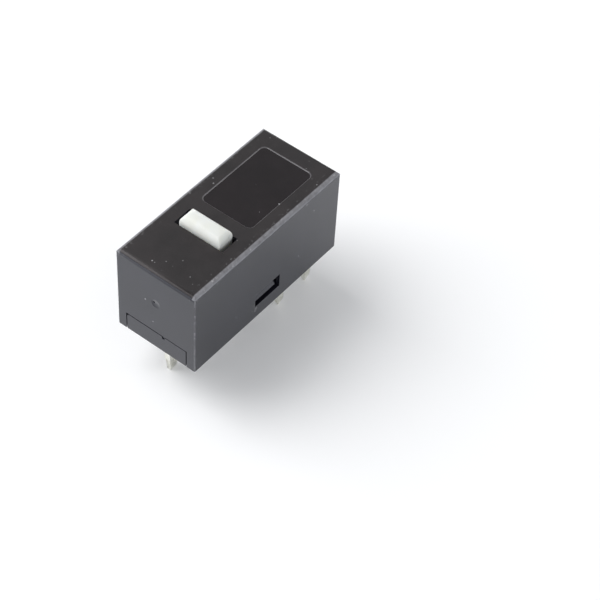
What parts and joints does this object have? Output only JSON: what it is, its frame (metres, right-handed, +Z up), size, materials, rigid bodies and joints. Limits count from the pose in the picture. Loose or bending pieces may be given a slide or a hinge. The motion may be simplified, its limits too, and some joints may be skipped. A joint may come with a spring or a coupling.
{
  "type": "optical micro switch",
  "caption": "Small board-mounted snap switch: black two-part case, white plunger, flat terminals, and a shutter between an infrared emitter and receiver.",
  "frame": {"origin": "centre of the underside, on the circuit board plane", "axes": "+X along the length from the plunger end to the device end, +Y across the width to the emitter's side, +Z up through the plunger"},
  "size_m": [0.0128, 0.0058, 0.0099],
  "materials": {
    "housing_black": "black moulded PBT, glossy sides and a finely textured top",
    "plunger_white": "white moulded acetal, satin",
    "plated_brass": "stamped brass with a dull tin plating",
    "spring_copper": "bright rolled beryllium copper leaf",
    "shutter_black": "matt black opaque plastic",
    "clear_epoxy": "clear moulded epoxy with a faint blue tint",
    "dark_epoxy": "black moulded epoxy that passes infrared",
    "plated_lead": "stamped lead frame with a tin plating",
    "semiconductor": "polished dark semiconductor chip",
    "bond_gold": "drawn gold wire"
  },
  "bodies": {
    "housing": {"cover": "housing_black", "base": "housing_black", "anchor_terminal": "plated_brass", "stop_terminal": "plated_brass", "emitter_body": "clear_epoxy", "emitter_pad_lead": "plated_lead", "emitter_wire_lead": "plated_lead", "emitter_die": "semiconductor", "emitter_bond_wire": "bond_gold", "receiver_body": "dark_epoxy", "receiver_pad_lead": "plated_lead", "receiver_wire_lead": "plated_lead", "receiver_die": "semiconductor", "receiver_bond_wire": "bond_gold"},
    "plunger": {"plunger": "plunger_white"},
    "blade": {"snap_blade": "spring_copper", "shutter": "shutter_black"}
  },
  "joints": [
    {"name": "plunger_slide", "type": "slide", "parent": "housing", "child": "plunger", "axis": [0, 0, -1], "range_m": [0, 0.0004], "stiffness_N_per_m": 900, "springref_m": -0.0003},
    {"name": "blade_hinge", "type": "hinge", "parent": "housing", "child": "blade", "pos_m": [-0.0051, 0, 0.00435], "axis": [0, 1, 0], "range_deg": [0, 7.8]}
  ],
  "couplings": [
    {"joint": "blade_hinge", "follows": "plunger_slide", "rad_per_m": 338.98}
  ]
}
